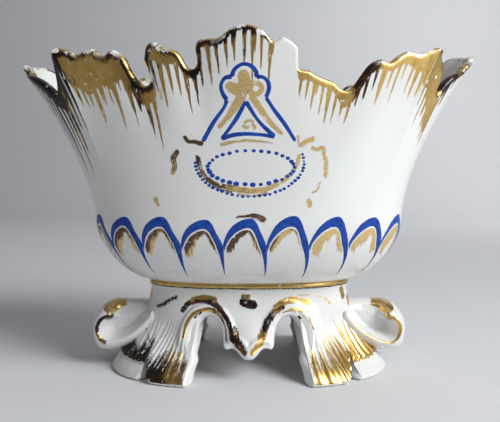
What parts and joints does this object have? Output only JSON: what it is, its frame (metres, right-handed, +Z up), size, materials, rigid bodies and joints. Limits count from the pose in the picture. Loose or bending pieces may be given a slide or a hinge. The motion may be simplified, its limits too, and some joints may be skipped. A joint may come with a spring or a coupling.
{
  "type": "footed porcelain vessel",
  "caption": "Flared oval porcelain bowl with a scalloped gilt rim, on a waisted base with arched aprons, fluted corner feet and curled side scrolls.",
  "frame": {"origin": "on the table under the middle of the vessel", "axes": "+X along the long axis towards the right end, -Y towards the painted front, +Z up"},
  "size_m": [0.1501, 0.0652, 0.1038],
  "materials": {
    "glazed_porcelain": "clear glaze over white porcelain",
    "gilding": "worn brushed gold",
    "cobalt_enamel": "glossy fired enamel",
    "bare_porcelain": "matt broken edge"
  },
  "bodies": {
    "root": {"bowl": "glazed_porcelain", "waist_band": "gilding", "neck": "glazed_porcelain", "front_apron": "glazed_porcelain", "rear_apron": "glazed_porcelain", "foot_front_left": "glazed_porcelain", "foot_front_right": "glazed_porcelain", "foot_rear_left": "glazed_porcelain", "foot_rear_right": "glazed_porcelain", "side_scroll_left": "glazed_porcelain", "side_scroll_right": "glazed_porcelain"}
  },
  "joints": []
}
